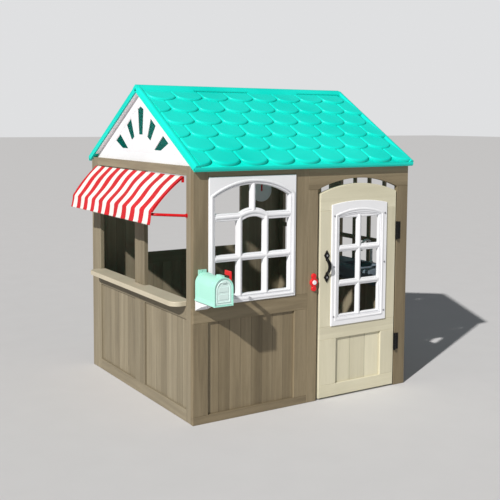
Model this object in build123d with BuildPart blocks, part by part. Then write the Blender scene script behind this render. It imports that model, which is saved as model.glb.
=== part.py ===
from build123d import *
import os
from math import sqrt

# Children's garden playhouse: panelled wooden walls, moulded plastic roof halves, gable
# inserts and window frames, a hinged door, a serving hatch with an awning, a mailbox,
# a doorbell, a toy wall clock and a toy sink. Millimetres, +Z up, ground at z = 0. The
# door wall faces -Y, the serving hatch faces -X, and the ridge runs along X. Names with
# no direction of their own are measured from the middle of the house.

# ---------------------------------------------------------------- driving dimensions
house_width = 1158.0            # outside of the walls along X
house_depth = 1076.0            # outside of the walls along Y
wall_thickness = 20.0
infill_recess = 10.0            # how far the infill boards sit behind the frame's face
infill_thickness = 10.0
board_gap = 1.0                 # open joint between neighbouring boards
arris = 1.5                     # chamfer along a board's face edges
infill_gap = 0.4                # open joint between the thin upright boards of a panel
infill_arris = 0.6

wall_top = 1060.0               # top of the front and back walls
stile_top = 1072.0              # top of the side walls
top_rail_bottom = 1034.0
mid_rail_bottom = 437.0         # side walls
mid_rail_top = 494.0
bottom_rail_top = 52.0

ridge_height = 1410.0           # where the two roof faces meet
roof_slope = 0.600              # fall per unit of reach
eaves_reach = 566.0             # from the middle of the house to the eaves, along Y
roof_half_length = 585.0        # along X
roof_thickness = 20.0
ridge_lip = 5.0                 # height of the interlocking ridge lips
ridge_lip_reach = 26.0

awning_centre = 6.0
awning_wall_half = 470.0        # half width of the fabric at the wall
awning_front_half = 440.0       # and at the fold
awning_fold = (-716.0, 889.0)   # where the roof of the awning turns down, as x, z
awning_hem = (-724.0, 834.0)
awning_top = (-582.0, 1031.0)
awning_belly = (-652.0, 968.0)
fabric_thickness = 3.0
rod_radius = 6.0

mailbox_length = 168.0
mailbox_half_width = 41.0
mailbox_centre = -532.0
mailbox_bottom = 530.0
mailbox_spring = 600.0          # where the barrel top starts
mailbox_wall = 3.0
mailbox_standoff = 7.0          # its back clears the window frame's rim

door_left = 62.0
door_right = 504.0
door_bottom = 8.0
door_corner = 937.0             # height of the door's upper corners
door_apex = 979.0
door_thickness = 22.0
door_proud = 2.5                # how far the door stands in front of the wall

# The part's origin lies on the ground under the middle of its whole outline, which the
# awning and the mailbox make lopsided, so the middle of the house is off the origin.
half_w = house_width / 2
half_d = house_depth / 2
mailbox_pull = 2.0              # how far the mailbox door's tab passes its hood
house_x = (-awning_hem[0] + fabric_thickness / 2 - roof_half_length) / 2
house_y = (half_d + mailbox_length + mailbox_pull - eaves_reach) / 2
inner_corner = half_d - wall_thickness
roof_drop = roof_thickness * sqrt(1 + roof_slope ** 2)   # roof thickness, upright

os.makedirs("parts", exist_ok=True)


# ------------------------------------------------------------------- working planes
def front(depth=0.0):
    """Plane parallel to the door wall, depth behind its face: x runs to +X, y up."""
    origin = (house_x, house_y - half_d + depth, 0)
    return Plane(origin=origin, x_dir=(1, 0, 0), z_dir=(0, -1, 0))


def back(depth=0.0):
    """Plane parallel to the back wall, depth inside its face: x runs to -X, y up."""
    origin = (house_x, house_y + half_d - depth, 0)
    return Plane(origin=origin, x_dir=(-1, 0, 0), z_dir=(0, 1, 0))


def left(depth=0.0):
    """Plane parallel to the hatch wall, depth inside its face: x runs to -Y, y up."""
    origin = (house_x - half_w + depth, house_y, 0)
    return Plane(origin=origin, x_dir=(0, -1, 0), z_dir=(-1, 0, 0))


def right(depth=0.0):
    """Plane parallel to the right wall, depth inside its face: x runs to +Y, y up."""
    origin = (house_x + half_w - depth, house_y, 0)
    return Plane(origin=origin, x_dir=(0, 1, 0), z_dir=(1, 0, 0))


def level(height):
    """Plan of the house at a height: x runs to +X, y to +Y."""
    return Plane(origin=(house_x, house_y, height), x_dir=(1, 0, 0), z_dir=(0, 0, 1))


def across(x):
    """Upright plane across the house at a given x: x runs to +Y, y up, facing +X."""
    return Plane(origin=(house_x + x, house_y, 0), x_dir=(0, 1, 0), z_dir=(1, 0, 0))


def along(y):
    """Upright plane along the house at a given y: x runs to +X, y up, facing -Y."""
    return Plane(origin=(house_x, house_y + y, 0), x_dir=(1, 0, 0), z_dir=(0, -1, 0))


# ------------------------------------------------------------------ shared operations
def rectangle(x0, x1, y0, y1, mode=Mode.ADD):
    """Rectangle between two x and two y values of the sketch in hand."""
    with Locations(((x0 + x1) / 2, (y0 + y1) / 2)):
        Rectangle(x1 - x0, y1 - y0, mode=mode)


def arched(x0, x1, bottom, spring, apex):
    """Filled outline with a flat foot, upright sides and a shallow arch on top."""
    with BuildLine() as outline:
        Polyline((x0, spring), (x0, bottom), (x1, bottom), (x1, spring))
        ThreePointArc((x1, spring), ((x0 + x1) / 2, apex), (x0, spring))
    make_face(outline.edges())


def arch_height(x, centre, half_span, spring, apex):
    """Height at x of the circular arch that rises from spring to apex."""
    rise = apex - spring
    radius = (half_span ** 2 + rise ** 2) / (2 * rise)
    return apex - radius + sqrt(radius ** 2 - (x - centre) ** 2)


def ease(piece, plane, size=arris):
    """Chamfer the outline of a builder's faces that look out along the plane's normal."""
    outward = plane.z_dir
    faces = piece.faces().filter_by(lambda face: face.normal_at().dot(outward) > 0.999)
    chamfer(faces.edges(), length=size)


def hand_in(part, label):
    """Label a finished piece and write it as the node of that name."""
    part.label = label
    export_step(part, f"parts/{label}.step")


def boards(label, plane, outlines, thickness=wall_thickness, edge=arris):
    """Boards with eased front edges: their faces lie on plane, and they reach inwards."""
    with BuildPart() as piece:
        with BuildSketch(plane):
            for outline in outlines:
                rectangle(*outline)
        extrude(amount=-thickness)
        ease(piece, plane, edge)
    hand_in(piece.part, label)


def infill(x0, x1, count, low, high):
    """Outlines of count equal upright boards between x0 and x1, with open joints."""
    pitch = (x1 - x0) / count
    for index in range(count):
        start = x0 + index * pitch
        yield start + infill_gap / 2, start + pitch - infill_gap / 2, low, high


# ------------------------------------------------------------ front wall, window panel
seam = -2.0                     # joint between the window panel and the door panel
window_left = -508.0
window_right = -72.0
front_rail_low = 35.0
front_mid_low = 427.0
front_mid_high = 497.0
window_high = 1029.0

boards("front_bottom_rail", front(), [(-half_w, seam, 0, front_rail_low)])
boards("front_lower_stiles", front(), [
    (-half_w, window_left, front_rail_low, front_mid_low),
    (window_right, seam, front_rail_low, front_mid_low),
])
boards("front_mid_rail", front(), [(-half_w, seam, front_mid_low, front_mid_high)])
boards("front_upper_stiles", front(), [
    (-half_w, window_left, front_mid_high, wall_top),
    (window_right, seam, front_mid_high, wall_top),
])
boards("front_top_rail", front(), [(window_left, window_right, window_high, wall_top)])
boards("front_boards", front(infill_recess),
       infill(window_left, window_right, 8, front_rail_low, front_mid_low), infill_thickness, infill_arris)

# Moulded window frame: a rim that stands proud of a recessed field, three columns of
# panes with two rows, the middle one arched, and a pair of lights under a shallow arch.
rim_proud = 6.0
rim_depth = 24.0
field_recess = 5.0
field_margin = 10.0
pane_bevel = 3.0
pane_width = 106.5
mullion = 25.0
window_centre = (window_left + window_right) / 2
pane_rows = ((532.0, 673.0), (702.0, 843.0))
pane_arch = 14.0                # rise of the middle pane's arched top
light_foot = 875.0
light_foot_rise = 20.0
light_spring = 943.0
light_apex = 994.0
crown_mullion = 22.0
fit_gap = 0.5
column_pitch = pane_width + mullion
pane_half_span = column_pitch + pane_width / 2
foot_half_span = column_pitch / 2


def foot_height(x):
    """Height at x of the lower edge of the lights, which bows up over the middle pane."""
    if abs(x - window_centre) >= foot_half_span:
        return light_foot
    return arch_height(x, window_centre, foot_half_span, light_foot, light_foot + light_foot_rise)


def crown_height(x):
    """Height at x of the upper edge of the lights."""
    return arch_height(x, window_centre, pane_half_span, light_spring, light_apex)


def light(side):
    """Filled outline of the light on one side of the crown mullion."""
    outer = window_centre + side * pane_half_span
    inner = window_centre + side * crown_mullion / 2
    turn = window_centre + side * foot_half_span
    bow = (turn + inner) / 2
    middle = (outer + inner) / 2
    with BuildLine() as outline:
        Line((outer, light_foot), (turn, light_foot))
        ThreePointArc((turn, light_foot), (bow, foot_height(bow)), (inner, foot_height(inner)))
        Line((inner, foot_height(inner)), (inner, crown_height(inner)))
        ThreePointArc((inner, crown_height(inner)), (middle, crown_height(middle)),
                      (outer, crown_height(outer)))
        Line((outer, crown_height(outer)), (outer, light_foot))
    make_face(outline.edges())


def bevel_holes(piece, plane, size):
    """Chamfer the front edges of the holes in the largest face that lies on the plane."""
    level_faces = piece.faces().filter_by(
        lambda face: face.normal_at().dot(plane.z_dir) > 0.999
        and abs(plane.to_local_coords(face.center()).Z) < 0.01)
    field = level_faces.sort_by(SortBy.AREA)[-1]
    chamfer(field.inner_wires().edges(), length=size)


with BuildPart() as front_window_frame:
    with BuildSketch(front(-rim_proud)):
        rectangle(window_left + fit_gap, window_right - fit_gap, front_mid_high, window_high)
    extrude(amount=-rim_depth)
    ease(front_window_frame, front(), 2.5)
    with BuildSketch(front(-rim_proud)):
        arched(window_centre - pane_half_span - field_margin,
               window_centre + pane_half_span + field_margin,
               pane_rows[0][0] - field_margin, light_spring + field_margin,
               light_apex + field_margin)
    extrude(amount=-field_recess, mode=Mode.SUBTRACT)
    with BuildSketch(front(field_recess - rim_proud)):
        for low, high in pane_rows:
            for column in (-1, 0, 1):
                x0 = window_centre + column * column_pitch - pane_width / 2
                if column == 0 and high < light_foot and low > pane_rows[0][1]:
                    arched(x0, x0 + pane_width, low, high, high + pane_arch)
                else:
                    rectangle(x0, x0 + pane_width, low, high)
        for side in (-1, 1):
            light(side)
    extrude(amount=-rim_depth, mode=Mode.SUBTRACT)
    bevel_holes(front_window_frame, front(field_recess - rim_proud), pane_bevel)
hand_in(front_window_frame.part, "front_window_frame")

# --------------------------------------------------------------- front wall, door panel
opening_left = 50.0
opening_right = 512.0
header_low = 957.0
header_apex = 1004.0
bell_x = 28.0
bell_z = 545.0
spring_pocket_radius = 6.5
spring_pocket_depth = 10.0

with BuildPart() as door_jamb_left:
    with BuildSketch(front()):
        rectangle(seam, opening_left, 0, header_low)
    extrude(amount=-wall_thickness)
    ease(door_jamb_left, front())
    with BuildSketch(front()):
        with Locations((bell_x, bell_z)):
            Circle(spring_pocket_radius)
    extrude(amount=-spring_pocket_depth, mode=Mode.SUBTRACT)
hand_in(door_jamb_left.part, "door_jamb_left")

boards("door_jamb_right", front(), [(opening_right, half_w, 0, header_low)])

with BuildPart() as door_header:
    with BuildSketch(front()):
        rectangle(seam, half_w, header_low, wall_top)
        with BuildLine():
            ThreePointArc((opening_left, header_low),
                          ((opening_left + opening_right) / 2, header_apex),
                          (opening_right, header_low))
            Line((opening_right, header_low), (opening_left, header_low))
        make_face(mode=Mode.SUBTRACT)
    extrude(amount=-wall_thickness)
    ease(door_header, front())
hand_in(door_header.part, "door_header")

# The stop is a strip behind the left jamb that the closed door rests on.
stop_left = 36.0
stop_right = 74.0
stop_thickness = 14.0
stop_gap = 0.8
stop_back = door_thickness - door_proud + stop_gap
with BuildPart() as door_stop:
    with BuildSketch(front(stop_back)):
        rectangle(stop_left, stop_right, 12, 955)
    extrude(amount=-stop_thickness)
hand_in(door_stop.part, "door_stop")

# ------------------------------------------------------------------- left, hatch wall
# On this wall x runs towards the door wall, so the near corner is at plus.
near_stile = 478.0
far_stile = -436.0
far_corner_board = -467.0
post_far = -26.0
post_joint = 24.0
post_near = 74.0

boards("left_bottom_rails", left(), [
    (far_stile, post_joint - board_gap, 0, bottom_rail_top),
    (post_joint, near_stile, 0, bottom_rail_top),
])
boards("left_mid_rails", left(), [
    (far_stile, post_joint - board_gap, mid_rail_bottom, mid_rail_top),
    (post_joint, near_stile, mid_rail_bottom, mid_rail_top),
])
boards("left_top_rail", left(), [(far_corner_board, near_stile, top_rail_bottom, stile_top)])
boards("left_corner_stiles", left(), [
    (near_stile, inner_corner, 0, stile_top),
    (far_corner_board + board_gap, far_stile, 0, top_rail_bottom),
    (-inner_corner, far_corner_board, 0, stile_top),
])
boards("left_centre_posts", left(), [
    (x0, x1, low, high)
    for x0, x1 in ((post_far, post_joint - board_gap), (post_joint, post_near))
    for low, high in ((bottom_rail_top, mid_rail_bottom), (mid_rail_top, top_rail_bottom))
])
boards("left_boards", left(infill_recess), [
    outline
    for x0, x1 in ((far_stile, post_far), (post_near, near_stile))
    for outline in infill(x0, x1, 8, bottom_rail_top, mid_rail_bottom)
], infill_thickness, infill_arris)

# Serving counter: a moulded shelf on the mid rails, cut out around the centre posts.
counter_thickness = 20.0
counter_reach = 63.0            # out from the wall
counter_inner = 27.0            # in from the wall's face
counter_far_overhang = 9.0
counter_corner = 42.0
with BuildPart() as serving_counter:
    with BuildSketch(level(mid_rail_top)) as outline:
        rectangle(-half_w - counter_reach, -half_w, -near_stile, -far_stile + counter_far_overhang)
        fillet(outline.vertices().group_by(Axis.X)[0], radius=counter_corner)
        rectangle(-half_w, -half_w + counter_inner, -near_stile + fit_gap, -post_near - fit_gap)
        rectangle(-half_w, -half_w + counter_inner, -post_far + fit_gap, -far_stile - fit_gap)
    extrude(amount=counter_thickness)
    fillet(serving_counter.faces().sort_by(Axis.Z)[-1].edges(), radius=4)
hand_in(serving_counter.part, "serving_counter")

# ------------------------------------------------------------------------ right wall
# Two grid windows beside a centre post of two boards; on this wall x runs to the back.
post_half = 50.0
corner_stile = 478.0
bar_width = 22.0
bar_thickness = 10.0
grid_columns = 4
grid_rows = 3
right_bays = ((-corner_stile, -post_half), (post_half, corner_stile))

boards("right_stiles", right(), [
    (-inner_corner, -corner_stile, 0, stile_top),
    (corner_stile, inner_corner, 0, stile_top),
] + [
    (x0, x1, low, high)
    for x0, x1 in ((-post_half, -board_gap / 2), (board_gap / 2, post_half))
    for low, high in ((bottom_rail_top, mid_rail_bottom), (mid_rail_top, top_rail_bottom))
])
boards("right_rails", right(), [
    (-corner_stile, corner_stile, low, high)
    for low, high in ((0, bottom_rail_top), (mid_rail_bottom, mid_rail_top),
                      (top_rail_bottom, stile_top))
])
boards("right_boards", right(infill_recess), [
    outline
    for bay in right_bays
    for outline in infill(*bay, 8, bottom_rail_top, mid_rail_bottom)
], infill_thickness, infill_arris)


def bar_places(low, high, gaps):
    """Both edges of the bars that part low to high into equal gaps."""
    gap = (high - low - (gaps - 1) * bar_width) / gaps
    for index in range(1, gaps):
        start = low + index * gap + (index - 1) * bar_width
        yield start, start + bar_width


boards("right_grid_uprights", right(), [
    (x0, x1, mid_rail_top, top_rail_bottom)
    for bay in right_bays for x0, x1 in bar_places(*bay, grid_columns)
], bar_thickness)
boards("right_grid_crossbars", right(bar_thickness), [
    (*bay, low, high)
    for bay in right_bays for low, high in bar_places(mid_rail_top, top_rail_bottom, grid_rows)
], bar_thickness)

# -------------------------------------------------------------------------- back wall
# Two full-height boarded bays beside a wide opening over a half wall.
back_opening = 300.0
bay_inner = 355.0
bay_outer = 508.0
bay_high = 992.0
sill_low = 505.0
sill_high = 563.0
sides = (-1, 1)


def mirrored(x0, x1, side):
    """The span from x0 to x1, or its mirror image when side is -1."""
    return (x0, x1) if side > 0 else (-x1, -x0)


boards("back_stiles", back(), [
    (*mirrored(x0, x1, side), 0, wall_top)
    for side in sides for x0, x1 in ((back_opening, bay_inner), (bay_outer, half_w))
])
boards("back_rails", back(), [
    (*mirrored(bay_inner, bay_outer, side), low, high)
    for side in sides for low, high in ((0, bottom_rail_top), (bay_high, wall_top))
] + [
    (-back_opening, back_opening, top_rail_bottom, wall_top),
    (-back_opening, back_opening, sill_low, sill_high),
    (-back_opening, back_opening, 0, bottom_rail_top),
])
boards("back_bay_boards", back(infill_recess), [
    outline
    for side in sides
    for outline in infill(*mirrored(bay_inner, bay_outer, side), 3, bottom_rail_top, bay_high)
], infill_thickness, infill_arris)
boards("back_half_boards", back(infill_recess),
       infill(-back_opening, back_opening, 11, bottom_rail_top, sill_low), infill_thickness, infill_arris)

# ------------------------------------------------------------------------------- roof
# Each half is a slab; along the ridge the two halves lap over each other in turn.
ridge_gap = 0.3
back_laps = ((-299.0, -6.0), (287.0, 573.0))
front_laps = ((-585.0, -299.6), (-5.4, 286.4))


def roof_half(label, side, laps):
    """One roof half: side is -1 for the front and 1 for the back."""
    slope_run = roof_slope / sqrt(1 + roof_slope ** 2)
    foot_reach = eaves_reach - roof_thickness * slope_run
    with BuildPart() as piece:
        with BuildSketch(across(-roof_half_length)):
            with BuildLine():
                Polyline((side * ridge_gap, ridge_height - roof_slope * ridge_gap),
                         (side * eaves_reach, ridge_height - roof_slope * eaves_reach),
                         (side * foot_reach, ridge_height - roof_drop - roof_slope * foot_reach),
                         (side * ridge_gap, ridge_height - roof_drop - roof_slope * ridge_gap),
                         close=True)
            make_face()
        extrude(amount=2 * roof_half_length)
        long_edges = piece.edges().filter_by(Axis.X)
        fillet(long_edges.group_by(Axis.Z)[0], radius=7)
        fillet(piece.edges().filter_by(Axis.X).sort_by(Axis.Y)[0 if side < 0 else -1], radius=6)
        for x0, x1 in laps:
            with BuildSketch(across(x0)):
                with BuildLine():
                    Polyline((side * 4, ridge_height - roof_slope * 4 - 1),
                             (side * 4, ridge_height + ridge_lip - roof_slope * 4),
                             (0, ridge_height + ridge_lip),
                             (-side * ridge_lip_reach,
                              ridge_height + ridge_lip - roof_slope * ridge_lip_reach),
                             (-side * ridge_lip_reach,
                              ridge_height + ridge_gap - roof_slope * ridge_lip_reach),
                             (0, ridge_height + ridge_gap),
                             (side * ridge_gap, ridge_height - 1),
                             close=True)
                make_face()
            extrude(amount=x1 - x0)
    hand_in(piece.part, label)


roof_half("roof_front", -1, front_laps)
roof_half("roof_back", 1, back_laps)

# Gable inserts: moulded sheets screwed behind the top rails, with fanned slots.
gable_thickness = 3.5
gable_foot = 1046.0
gable_reach = 512.0
gable_gap = 1.5
groove_half = 352.0             # half length of the moulded groove lines
groove_foot = 1112.0
groove_width = 3.0
groove_depth = 0.8
groove_drop = 50.0              # of the sloping grooves below the sheet's edge
centre_slot = ((-31.0, 1308.0), (0.0, 1321.0), (31.0, 1308.0), (20.0, 1194.0), (-20.0, 1194.0))
fan_slots = (
    ((154.0, 1234.0), (104.0, 1267.0), (68.0, 1183.0), (100.0, 1166.0)),
    ((279.0, 1160.0), (227.0, 1192.0), (138.0, 1127.0), (205.0, 1127.0)),
)


def slope_groove(peak):
    """Corners of the groove that runs parallel to one slope, outside the slots."""
    low = peak - groove_drop - roof_slope * groove_half
    high = peak - groove_drop
    return (0.0, high), (groove_half, low), (groove_half, low - groove_width), (0.0, high - groove_width)


def gable_insert(label, plane):
    """Insert below the roof's underside, whose front face lies on the plane."""
    peak = ridge_height - roof_drop - gable_gap
    with BuildPart() as piece:
        with BuildSketch(plane):
            with BuildLine():
                Polyline((-gable_reach, gable_foot), (gable_reach, gable_foot),
                         (gable_reach, peak - roof_slope * gable_reach), (0, peak),
                         (-gable_reach, peak - roof_slope * gable_reach), close=True)
            make_face()
        extrude(amount=-gable_thickness)
        with BuildSketch(plane):
            with BuildLine():
                Polyline(centre_slot, close=True)
            make_face()
            for slot in fan_slots:
                for side in sides:
                    with BuildLine():
                        Polyline([(side * x, z) for x, z in slot], close=True)
                    make_face()
        extrude(amount=-gable_thickness, mode=Mode.SUBTRACT)
        ease(piece, plane, 1.0)
        with BuildSketch(plane):
            for side in sides:
                with BuildLine():
                    Polyline([(side * x, z) for x, z in slope_groove(peak)], close=True)
                make_face()
            rectangle(-groove_half, groove_half, groove_foot, groove_foot + groove_width)
        extrude(amount=-groove_depth, mode=Mode.SUBTRACT)
    hand_in(piece.part, label)


gable_insert("gable_insert_left", left(wall_thickness))
gable_insert("gable_insert_right", right(wall_thickness))

# ------------------------------------------------------------------------------- door
door_mid_low = 275.0
door_mid_high = 333.0
door_rail_high = 65.0
door_top_low = 860.0
upper_stile = 83.0
panel_left = 159.0
panel_right = 423.0
screw_radius = 1.9
screw_hole = 2.1
screw_head = 4.5
frame_left = 124.0
frame_right = 446.0
frame_screws = [(x, z) for x in (frame_left + 13, frame_right - 13) for z in (377, 606, 836)]
handle_x = 99.0
handle_screws = [(handle_x, 660.0), (handle_x, 561.0)]


def door_face(depth=0.0):
    """Plane of the door's outer face, or one depth behind it."""
    return front(depth - door_proud)


boards("door_rails", door_face(), [
    (door_left, door_right, door_bottom, door_rail_high),
    (door_left, door_right, door_mid_low, door_mid_high),
], door_thickness)
boards("door_lower_stiles", door_face(), [
    (door_left, panel_left, door_rail_high, door_mid_low),
    (panel_right, door_right, door_rail_high, door_mid_low),
], door_thickness)
boards("door_panel_boards", door_face(infill_recess),
       infill(panel_left, panel_right, 3, door_rail_high, door_mid_low), infill_thickness, infill_arris)

with BuildPart() as door_upper_stiles:
    with BuildSketch(door_face()):
        rectangle(door_left, door_left + upper_stile, door_mid_high, door_top_low)
        rectangle(door_right - upper_stile, door_right, door_mid_high, door_top_low)
    extrude(amount=-door_thickness)
    ease(door_upper_stiles, door_face())
    with BuildSketch(door_face()):
        with Locations(frame_screws + handle_screws):
            Circle(screw_hole)
    extrude(amount=-door_thickness * 0.8, mode=Mode.SUBTRACT)
hand_in(door_upper_stiles.part, "door_upper_stiles")

with BuildPart() as door_top_rail:
    with BuildSketch(door_face()):
        arched(door_left, door_right, door_top_low, door_corner, door_apex)
    extrude(amount=-door_thickness)
    ease(door_top_rail, door_face())
hand_in(door_top_rail.part, "door_top_rail")

# Moulded frame of the door's window: a flange on the wood and a body in the opening.
flange = 6.0
body_depth = 10.0
door_middle = (frame_left + frame_right) / 2 - 1
door_pane = 101.0
door_muntin = 26.0
door_pane_rows = ((384.0, 512.0), (541.0, 671.0), (700.0, 825.0))
field_half = door_pane + door_muntin / 2 + field_margin
with BuildPart() as door_window_frame:
    with BuildSketch(door_face(-flange)):
        arched(frame_left, frame_right, door_mid_high + 1, 886, 902)
    extrude(amount=-flange)
    ease(door_window_frame, door_face(), 2.0)
    with BuildSketch(door_face()):
        rectangle(door_left + upper_stile + fit_gap, door_right - upper_stile - fit_gap,
                  door_mid_high + 1, door_top_low - 1)
    extrude(amount=-body_depth)
    with BuildSketch(door_face(-flange)):
        arched(door_middle - field_half, door_middle + field_half,
               door_pane_rows[0][0] - field_margin, door_pane_rows[-1][1] + field_margin,
               door_pane_rows[-1][1] + 24)
    extrude(amount=-field_recess, mode=Mode.SUBTRACT)
    with BuildSketch(door_face(-flange)):
        for low, high in door_pane_rows:
            for side in sides:
                centre = door_middle + side * (door_pane + door_muntin) / 2
                rectangle(centre - door_pane / 2, centre + door_pane / 2, low, high)
    extrude(amount=-flange - body_depth, mode=Mode.SUBTRACT)
    bevel_holes(door_window_frame, door_face(field_recess - flange), pane_bevel)
    with BuildSketch(door_face(-flange)):
        with Locations(frame_screws):
            Circle(screw_hole)
    extrude(amount=-flange, mode=Mode.SUBTRACT)
hand_in(door_window_frame.part, "door_window_frame")

# Pull handle: two diamond plates with a bowed grip between them.
handle_middle = (handle_screws[0][1] + handle_screws[1][1]) / 2
plate_thickness = 4.0
grip_half_height = 38.0
grip_half_width = 6.0
grip_bulge = 26.0
with BuildPart() as door_handle:
    with BuildSketch(door_face()):
        for x, z in handle_screws:
            with BuildLine():
                Polyline((x - 15, z), (x, z + 24), (x + 15, z), (x, z - 24), close=True)
            make_face()
    extrude(amount=plate_thickness)
    with BuildSketch(across(handle_x)):
        face = -half_d - door_proud - plate_thickness / 2
        with BuildLine():
            ThreePointArc((face, handle_middle - grip_half_height),
                          (face - grip_bulge, handle_middle),
                          (face, handle_middle + grip_half_height))
            Line((face, handle_middle + grip_half_height), (face, handle_middle + 28))
            ThreePointArc((face, handle_middle + 28), (face - 18, handle_middle),
                          (face, handle_middle - 28))
            Line((face, handle_middle - 28), (face, handle_middle - grip_half_height))
        make_face()
    extrude(amount=grip_half_width, both=True)
    with BuildSketch(door_face(-plate_thickness)):
        with Locations(handle_screws):
            Circle(screw_hole)
    extrude(amount=-plate_thickness, mode=Mode.SUBTRACT)
hand_in(door_handle.part, "door_handle")


def screws(plane, points, grip):
    """Pan-head screws in the part in hand: heads outside the plane, shanks grip deep."""
    with BuildSketch(plane) as heads:
        with Locations(points):
            Circle(screw_head)
    extrude(heads.sketch, amount=2.0)
    with BuildSketch(plane) as shanks:
        with Locations(points):
            Circle(screw_radius)
    extrude(shanks.sketch, amount=-grip)


with BuildPart() as door_screws:
    screws(door_face(-flange), frame_screws, flange + 12)
    screws(door_face(-plate_thickness), handle_screws, plate_thickness + 12)
hand_in(door_screws.part, "door_screws")

# ----------------------------------------------------------------------------- hinges
# The pins stand in front of the gap beside the door, so the door swings right round.
pin_x = 508.0
pin_front = 8.0                 # pin axis, in front of the wall
pin_radius = 3.0
pin_play = 0.05
knuckle_radius = 6.0
leaf_thickness = 2.0
knuckle_play = 0.4
hinge_spans = ((707.0, 789.0), (175.0, 253.0))
pin_y = -half_d - pin_front


def hinge_thirds(low, high):
    """The spans of the lower, middle and upper knuckle of one hinge."""
    third = (high - low) / 3
    return [(low + index * third, low + (index + 1) * third) for index in range(3)]


with BuildPart() as hinge_jamb_leaves:
    for low, high in hinge_spans:
        with BuildSketch(level(low)):
            rectangle(opening_right + 0.5, 535, -half_d - leaf_thickness, -half_d)
        extrude(amount=high - low)
        lower, middle, upper = hinge_thirds(low, high)
        for start, end in (lower, upper):
            with BuildSketch(level(start)):
                with Locations((pin_x, pin_y)):
                    Circle(knuckle_radius)
                rectangle(pin_x, opening_right + 2, pin_y, -half_d)
                with Locations((pin_x, pin_y)):
                    Circle(pin_radius + pin_play, mode=Mode.SUBTRACT)
            extrude(amount=end - start)
hand_in(hinge_jamb_leaves.part, "hinge_jamb_leaves")

with BuildPart() as hinge_door_leaves:
    for low, high in hinge_spans:
        with BuildSketch(level(low)):
            rectangle(door_right, door_right + leaf_thickness, pin_y + 6.8, pin_y + 25)
        extrude(amount=high - low)
        lower, middle, upper = hinge_thirds(low, high)
        with BuildSketch(level(middle[0] + knuckle_play)):
            with Locations((pin_x, pin_y)):
                Circle(knuckle_radius)
            rectangle(door_right, door_right + leaf_thickness, pin_y + 3, pin_y + 8)
            with Locations((pin_x, pin_y)):
                Circle(pin_radius + pin_play, mode=Mode.SUBTRACT)
        extrude(amount=middle[1] - middle[0] - 2 * knuckle_play)
hand_in(hinge_door_leaves.part, "hinge_door_leaves")

with BuildPart() as hinge_pins:
    for low, high in hinge_spans:
        with BuildSketch(level(low - 2)):
            with Locations((pin_x, pin_y)):
                Circle(pin_radius)
        extrude(amount=high - low + 2)
        with BuildSketch(level(high)):
            with Locations((pin_x, pin_y)):
                Circle(knuckle_radius - 1)
        extrude(amount=2.5)
hand_in(hinge_pins.part, "hinge_pins")

# --------------------------------------------------------------------------- doorbell
bell_thickness = 9.0
bell_round = 19.5
bell_lobe = 12.0
bell_lobe_offset = 28.0
bell_skin = 3.0
bell_pocket = 12.8
button_radius = 10.0
button_play = 0.3
button_proud = 4.0
button_flange = 12.2
button_gap = 0.2
bell_point = (bell_x, bell_z)
with BuildPart() as doorbell_plate:
    with BuildSketch(front()):
        with Locations(bell_point):
            Circle(bell_round)
        with Locations((bell_x, bell_z - bell_lobe_offset), (bell_x, bell_z + bell_lobe_offset)):
            Circle(bell_lobe)
    extrude(amount=bell_thickness)
    fillet(doorbell_plate.faces().sort_by(Axis.Y)[0].edges(), radius=2)
    with BuildSketch(front()):
        with Locations(bell_point):
            Circle(bell_pocket)
    extrude(amount=bell_thickness - bell_skin, mode=Mode.SUBTRACT)
    with BuildSketch(front()):
        with Locations(bell_point):
            Circle(button_radius + button_play)
    extrude(amount=bell_thickness, mode=Mode.SUBTRACT)
hand_in(doorbell_plate.part, "doorbell_plate")

flange_face = bell_thickness - bell_skin - button_gap
with BuildPart() as doorbell_button:
    with BuildSketch(front(-flange_face)):
        with Locations(bell_point):
            Circle(button_flange)
    extrude(amount=-1.6)
    with BuildSketch(front(-flange_face)):
        with Locations(bell_point):
            Circle(button_radius)
    extrude(amount=bell_skin + button_gap + button_proud)
    fillet(doorbell_button.edges().sort_by(Axis.Y)[0], radius=1.5)
hand_in(doorbell_button.part, "doorbell_button")

# The spring is drawn at its length with the button pressed home.
wire_radius = 0.7
coil_radius = 5.0
coil_start = house_y - half_d + spring_pocket_depth - wire_radius - 0.1
with BuildPart() as doorbell_spring:
    with BuildLine() as coil:
        Helix(pitch=2.8, height=10.0, radius=coil_radius,
              center=(house_x + bell_x, coil_start, bell_z), direction=(0, -1, 0))
    with BuildSketch(Plane(origin=coil.line @ 0, z_dir=coil.line % 0)):
        Circle(wire_radius)
    sweep(path=coil.line, is_frenet=True)
hand_in(doorbell_spring.part, "doorbell_spring")

# ---------------------------------------------------------------------------- mailbox
# The door hangs on two trunnions at its foot and is recessed in the hood.
box_left = mailbox_centre - mailbox_half_width
box_right = mailbox_centre + mailbox_half_width
box_front = -half_d - mailbox_length
lid_thickness = 4.0
lid_play = 0.6
trunnion_radius = 1.5
trunnion_play = 0.06
trunnion_reach = 2.4
lid_axis_y = box_front + 5.0
lid_axis_z = mailbox_bottom + mailbox_wall + lid_thickness / 2 + 0.4
flag_axis = (-684.0, 596.0)     # y and z of the flag's pivot
flag_pin_radius = 2.0
mailbox_tab_top = 652.0


def tunnel(inset):
    """Filled outline of the mailbox, drawn in by inset on every side."""
    x0 = box_left + inset
    x1 = box_right - inset
    crown = mailbox_spring + mailbox_half_width - inset
    arched(x0, x1, mailbox_bottom + inset, mailbox_spring, crown)


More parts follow.
